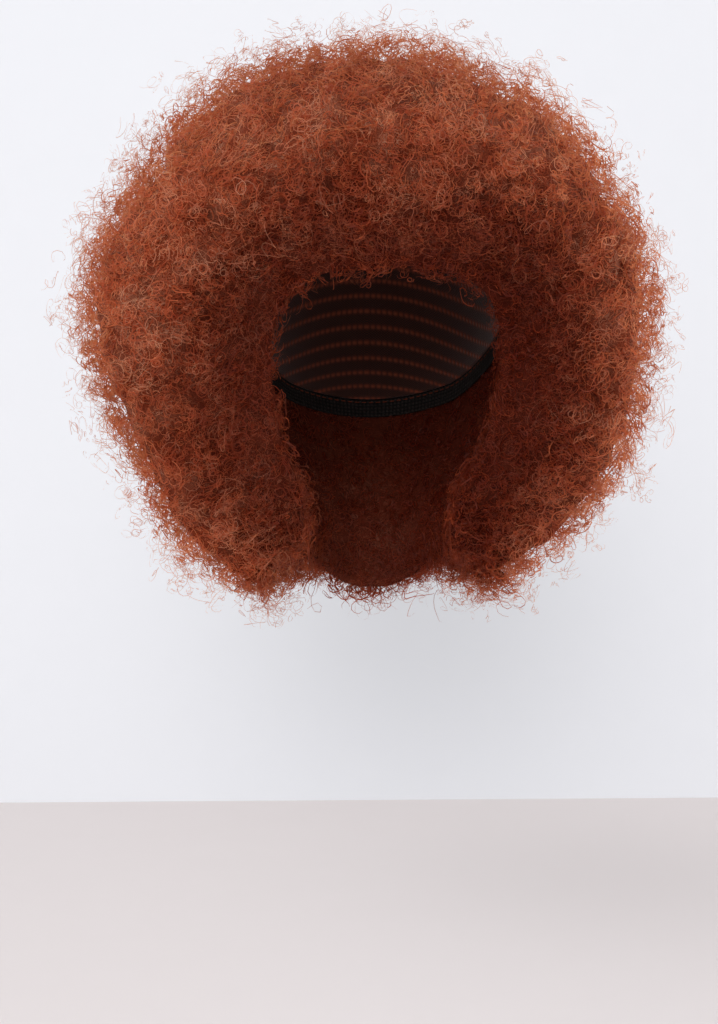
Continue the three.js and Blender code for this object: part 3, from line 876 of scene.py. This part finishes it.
def make_strands(index):
    """One piece of loose strands: each a narrow ribbon along its line, with its flat side mostly
    turned out, narrowing to its end by the cube of the way along. Its tone differs by tuft and by chance,
    and is lighter the less deep it lies, as painted shade. Its depth value, a painted shade from 0 in the
    dark to 1 in the light, is lower the deeper it lies, and rises along it, with its tuft's relief and
    with its edge shade."""
    curls = bpy.context.scene.wig_curls
    random = np.random.default_rng(curls.seed * 100 + index)
    line, outward, label, deep, relief, shade = strand_paths(random, index)
    line = keep_in_reach(keep_off_head(line))
    count, steps = line.shape[:2]
    along = unit(np.gradient(line, axis=1))
    guide = unit(0.4 * outward + any_direction(random, count))[:, None]
    side = np.cross(along, guide)
    weight = np.linalg.norm(side, axis=-1, keepdims=True)
    side = side / np.maximum(weight, 1e-6)
    turned = np.where((side[:, 1:] * side[:, :-1]).sum(-1) < 0, -1.0, 1.0)
    side[:, 1:] *= np.cumprod(turned, 1)[..., None]
    t = np.linspace(0, 1, steps)
    width = curls.width + (curls.under_width - curls.width) * deep ** WIDTH_POWER
    half = (0.5 * width[:, None] * (1 - END_TAPER * t ** 3))[..., None] * side
    vertices = np.stack([line - half, line + half], 2)
    start = (np.arange(count) * steps * 2)[:, None] + np.arange(steps - 1) * 2
    quads = np.stack([start, start + 1, start + 3, start + 2], -1).reshape(-1, 4)
    piece = new_piece(f"strands_{index + 1}", vertices, quads.tolist(),
                      made_once("hair_strands", strand_material))
    # The tone is darker for deep strands, as painted shade, and differs by tuft and by chance
    tone = 0.78 + 0.16 * random.normal(size=count) + 0.2 * (label - 0.5) - 0.45 * deep
    set_point_values(piece, "tone", np.repeat(np.clip(tone, 0, 1), steps * 2))
    # The depth value is painted shade: darker deep down, between tufts, at the root and at the thin edge
    level = (1.1 - 0.33 * deep) * np.minimum(0.5 + 0.7 * relief, 1.1) * shade
    depth = np.clip((0.5 + 0.5 * t) * level[:, None] + 0.1 * shade[:, None], 0, 1)
    set_point_values(piece, "depth", np.repeat(depth, 2, 1))
    # Each strand has a cell of the map to itself, and fills half its width and 0.8 of its height
    cells = math.ceil(math.sqrt(count))
    row, column = np.divmod(np.arange(count), cells)
    left, low = (column + 0.25) / cells, (row + 0.1) / cells
    ends = low[:, None] + np.stack([t[:-1], t[1:]], -1).reshape(1, -1) * 0.8 / cells
    below, above = ends[:, 0::2], ends[:, 1::2]
    edges = np.stack([np.broadcast_to(left[:, None], below.shape),
                      np.broadcast_to((left + 0.5 / cells)[:, None], below.shape)], -1)
    corners = np.stack([np.stack([edges[..., 0], below], -1), np.stack([edges[..., 1], below], -1),
                        np.stack([edges[..., 1], above], -1), np.stack([edges[..., 0], above], -1)], 2)
    set_bake_map(piece, corners)


def shell(name, d, thickness, material, cloth, dome=False):
    """A closed thin shell on the head from a grid of directions: its outside, its inside and the walls
    between them. cloth is the grid's place on the flat cloth, in metres. A dome's columns close round
    the head, its cloth has one column more, and its first row closes on a pole."""
    rows, columns = d.shape[:2]
    radius = head_radius(d)
    outside = d * (radius + thickness)[..., None]
    inside = d * radius[..., None]
    count = rows * columns
    wide = cloth.shape[1]
    vertex = np.arange(count).reshape(rows, columns)[:, np.arange(wide) % columns].ravel()
    cell = np.arange(rows * wide).reshape(rows, wide)
    quads = quad_grid(rows, wide, wrap=False)
    path = cell[-1]
    if not dome:
        path = np.concatenate([cell[:, 0], cell[-1, 1:], cell[-2::-1, -1], cell[0, -2::-1]])
    start, end = path[:-1], path[1:]
    walls = np.stack([vertex[start] + count, vertex[end] + count, vertex[end], vertex[start]], -1)
    faces = np.concatenate([vertex[quads], vertex[quads[:, ::-1]] + count, walls]).tolist()
    flat = cloth.reshape(-1, 2)
    corners = [flat[quads].reshape(-1, 2), flat[quads[:, ::-1]].reshape(-1, 2),
               flat[np.stack([start, end, end, start], -1)].reshape(-1, 2)]
    vertices = [outside.reshape(-1, 3), inside.reshape(-1, 3)]
    if dome:
        vertices += [outside[:1].mean(1), inside[:1].mean(1)]
        one, two = cell[0, :-1], cell[0, 1:]
        pole = np.full(columns, 2 * count)
        crown = np.stack([(flat[one, 0] + flat[two, 0]) / 2, np.zeros(columns)], -1)
        faces += np.stack([pole, vertex[one], vertex[two]], -1).tolist()
        faces += np.stack([pole + 1, vertex[two] + count, vertex[one] + count], -1).tolist()
        corners += [np.stack([crown, flat[one], flat[two]], 1).reshape(-1, 2),
                    np.stack([crown, flat[two], flat[one]], 1).reshape(-1, 2)]
    piece = new_piece(name, wig_middle() + np.concatenate(vertices), faces, material)
    layer = piece.data.uv_layers.new(name="cloth")
    layer.data.foreach_set("uv", np.concatenate(corners).astype(np.float32).ravel())
    return piece


def rim_polar(azimuth):
    """The cap's rim: polar degrees at an azimuth, the same on both sides."""
    turned = np.abs((np.asarray(azimuth, float) + 180) % 360 - 180)
    return smooth_read(RIM, "azimuth", "polar", turned)


def below_rim(azimuth, distance):
    """Polar degrees of places a distance below the rim, measured along the head."""
    polar = rim_polar(azimuth)
    return polar + np.degrees(distance / head_radius(direction(polar, azimuth)))


def cloth_across(azimuth):
    """How far round the flat cloth an azimuth lies, in metres."""
    return np.radians(azimuth) * bpy.context.scene.wig_head.width / 2


def make_cap():
    """The cap: a dome whose outside is raised over the rows of sewn hair that its material shows."""
    cap = bpy.context.scene.wig_cap
    rows, columns = 72, 120
    azimuth = np.arange(columns + 1) * 360 / columns - 180
    down = np.linspace(1 / rows, 1, rows)[:, None]
    d = direction(down * rim_polar(azimuth), np.broadcast_to(azimuth, (rows, columns + 1)))
    drop = down * np.radians(rim_polar(azimuth)) * head_radius(d)
    weft = np.exp(-0.5 * (((drop / cap.weft_spacing) % 1 - 0.5) / WEFT_SOFTNESS) ** 2)
    cloth = np.stack([np.broadcast_to(cloth_across(azimuth), drop.shape), drop], -1)
    thickness = cap.wall - cap.weft_height * (1 - weft)
    piece = shell("net_cap", d[:, :-1], thickness[:, :-1], net_material(), cloth, dome=True)
    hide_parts("cap")


def band_angle(width):
    """The angle round the head that a width takes up at the ear tabs, in degrees."""
    polar = rim_polar(TAB_AZIMUTH)
    radius = head_radius(direction(polar, TAB_AZIMUTH)) * math.sin(math.radians(polar))
    return float(np.degrees(width / radius))


def make_band(name, node, start, end):
    """Elastic edging along the rim between two azimuths, which thins to its long edges by the square
    root of one minus the fourth power of the way from its middle."""
    cap = bpy.context.scene.wig_cap
    columns = int((end - start) * BAND_COLUMNS)
    rows = 14
    azimuth = np.linspace(start, end, columns)
    across = np.linspace(0, 1, rows)[:, None]
    polar = below_rim(azimuth, cap.seam + across * cap.band_width)
    d = direction(polar, np.broadcast_to(azimuth, polar.shape))
    rounded = BAND_EDGE + (1 - BAND_EDGE) * np.sqrt(1 - (2 * across - 1) ** 4)
    cloth = np.stack([np.broadcast_to(cloth_across(azimuth), polar.shape),
                      np.broadcast_to(across * cap.band_width, polar.shape)], -1)
    piece = shell(name, d, cap.band_wall * np.broadcast_to(rounded, polar.shape),
                  made_once("elastic", elastic_material), cloth)
    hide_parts(node)


def make_tab(name, node, side):
    """An ear tab: a tongue that hangs from the rim and narrows to its end, by the square root of one
    minus the fourth power of the way down."""
    cap = bpy.context.scene.wig_cap
    rows, columns = 22, 20
    fall = np.sin(np.linspace(0, math.pi / 2, rows))[:, None]
    narrow = np.maximum(TAB_END, np.sqrt(1 - fall ** 4))
    across = np.linspace(-1, 1, columns)
    azimuth = side * (TAB_AZIMUTH + across * narrow * band_angle(cap.tab_width) / 2)
    azimuth = azimuth if side > 0 else azimuth[:, ::-1]
    d = direction(below_rim(azimuth, cap.seam + fall * cap.tab_length), azimuth)
    cloth = np.stack([cloth_across(azimuth), np.broadcast_to(fall * cap.tab_length, azimuth.shape)], -1)
    piece = shell(name, d, np.full(azimuth.shape, cap.band_wall),
                  made_once("elastic", elastic_material), cloth)
    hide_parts(node)


def stage_plane(name, corners, material):
    """One flat four-cornered surface that isn't part of the object."""
    mesh = bpy.data.meshes.new(name)
    mesh.from_pydata(corners, [], [(0, 1, 2, 3)])
    mesh.materials.append(material)
    plane = bpy.data.objects.new(name, mesh)
    bpy.context.scene.collection.objects.link(plane)


def soft_light(name, place, target, size, power):
    """A large square lamp that looks at a target."""
    lamp = bpy.data.lights.new(name, "AREA")
    lamp.size, lamp.energy = size, power
    holder = bpy.data.objects.new(name, lamp)
    holder.location = place
    holder.rotation_euler = (Vector(target) - Vector(place)).to_track_quat("-Z", "Y").to_euler()
    holder.visible_camera = False
    bpy.context.scene.collection.objects.link(holder)


class WIG_OT_stage(bpy.types.Operator):
    """Builds the pale floor and wall, the soft light and the camera"""
    bl_idname = "wig.stage"
    bl_label = "Stage"

    def execute(self, context):
        """Places everything that isn't the wig."""
        scene, stage = context.scene, context.scene.wig_stage
        focal = stage.lens / SENSOR * PHOTO_HEIGHT
        back = Vector((math.sin(stage.azimuth), -math.cos(stage.azimuth), 0))
        right = Vector((math.cos(stage.azimuth), math.sin(stage.azimuth), 0))
        middle = Vector(wig_middle())
        aside = (PHOTO_WIDTH / 2 - WIG_MIDDLE_PIXEL[0]) / focal * stage.distance
        eye = middle + back * stage.distance + right * aside
        eye.z = -stage.eye_drop
        floor = -stage.floor_drop
        eye_height = stage.floor_drop - stage.eye_drop
        far = eye_height * focal / (FLOOR_LINE_PIXEL - PHOTO_HEIGHT / 2) - stage.distance
        turned = stage.azimuth / 2
        along = Vector((math.cos(turned), math.sin(turned), 0)) * stage.stage_size
        foot = middle - back * far
        foot.z = floor
        near = Vector((math.sin(turned), -math.cos(turned), 0)) * stage.stage_size
        up = UP * stage.stage_size

        def seen_at(pixel):
            """The way from the camera to a pixel of the photograph, one metre ahead."""
            across, down = pixel[0] - PHOTO_WIDTH / 2, pixel[1] - PHOTO_HEIGHT / 2
            return -back + (right * across - UP * down) / focal

        wall_way, floor_way = seen_at(WALL_SHADE_PIXEL), seen_at(FLOOR_SHADE_PIXEL)
        wall_shade = eye + wall_way * (far + stage.distance)
        floor_shade = eye + floor_way * ((floor - eye.z) / floor_way.z)
        stage_plane("floor", [foot - along + near, foot + along + near, foot + along, foot - along],
                    stage_material("floor_matt", stage.floor_colour, 0.7, FLOOR_SHADE, floor_shade,
                                   stage.shade_spread))
        stage_plane("wall", [foot - along, foot + along, foot + along + up, foot - along + up],
                    stage_material("wall_matt", stage.wall_colour, 0.9, WALL_SHADE, wall_shade,
                                   stage.shade_spread))
        lens = bpy.data.cameras.new("camera")
        lens.lens, lens.sensor_width = stage.lens, SENSOR
        lens.clip_start, lens.clip_end = 0.01, 50
        camera = bpy.data.objects.new("camera", lens)
        camera.location = eye
        camera.rotation_euler = (-back).to_track_quat("-Z", "Y").to_euler()
        scene.collection.objects.link(camera)
        scene.camera = camera
        soft_light("key", KEY_PLACE, middle, KEY_WIDTH, stage.key_power)
        soft_light("fill", FILL_PLACE, middle, FILL_WIDTH, stage.fill_power)
        world = bpy.data.worlds.new("studio")
        world.use_nodes = True
        background = world.node_tree.nodes["Background"]
        background.inputs["Color"].default_value = (0.97, 0.98, 1, 1)
        background.inputs["Strength"].default_value = stage.sky
        scene.world = world
        scene.view_settings.view_transform = "Standard"
        return {"FINISHED"}


class WIG_OT_underhair(bpy.types.Operator):
    """Builds the dense underhair"""
    bl_idname = "wig.underhair"
    bl_label = "Underhair"

    def execute(self, context):
        """Makes the underhair in place of the rows of locks."""
        make_underhair()
        return {"FINISHED"}


class WIG_OT_strands(bpy.types.Operator):
    """Builds the loose curled strands"""
    bl_idname = "wig.strands"
    bl_label = "Strands"

    def execute(self, context):
        """Makes each piece of strands."""
        for index in range(context.scene.wig_curls.pieces):
            make_strands(index)
        return {"FINISHED"}


class WIG_OT_cap(bpy.types.Operator):
    """Builds the stretch cap, its bands and its ear tabs"""
    bl_idname = "wig.cap"
    bl_label = "Cap"

    def execute(self, context):
        """Makes the cap's pieces in place of their plain solids."""
        make_cap()
        edge = band_angle(context.scene.wig_cap.tab_width / 2 + context.scene.wig_cap.seam)
        make_band("forehead_edging", "front_band", edge - TAB_AZIMUTH, TAB_AZIMUTH - edge)
        make_band("nape_edging", "nape_band", TAB_AZIMUTH + edge, 360 - TAB_AZIMUTH - edge)
        make_tab("left_tab", "ear_tab_left", 1)
        make_tab("right_tab", "ear_tab_right", -1)
        return {"FINISHED"}


class WIG_PT_panel(bpy.types.Panel):
    """Lists the steps that build the wig"""
    bl_idname = "WIG_PT_panel"
    bl_label = "Afro Wig"
    bl_space_type = "VIEW_3D"
    bl_region_type = "UI"
    bl_category = SIDEBAR_TAB

    def draw(self, context):
        """Draws one button for each step and the sizes under them."""
        for step in STEPS:
            self.layout.operator(step.bl_idname)
        for name, group in SETTINGS.items():
            box = self.layout.box()
            for key in group.__annotations__:
                box.prop(getattr(context.scene, name), key)


SETTINGS = {"wig_head": WigHead, "wig_hair": WigHair, "wig_curls": WigCurls, "wig_cap": WigCap,
            "wig_stage": WigStage}
STEPS = (WIG_OT_stage, WIG_OT_cap, WIG_OT_underhair, WIG_OT_strands)


def register():
    """Registers the settings, the steps and the panel."""
    for name, group in SETTINGS.items():
        bpy.utils.register_class(group)
        setattr(bpy.types.Scene, name, PointerProperty(type=group))
    for step in (*STEPS, WIG_PT_panel):
        bpy.utils.register_class(step)


def unregister():
    """Takes everything that was registered away again."""
    for step in (WIG_PT_panel, *reversed(STEPS)):
        bpy.utils.unregister_class(step)
    for name, group in reversed(SETTINGS.items()):
        delattr(bpy.types.Scene, name)
        bpy.utils.unregister_class(group)


def main():
    """Builds the wig and its stage."""
    register()
    bpy.ops.wig.stage()
    bpy.ops.wig.cap()
    bpy.ops.wig.underhair()
    bpy.ops.wig.strands()
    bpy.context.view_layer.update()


if __name__ == "__main__":
    main()
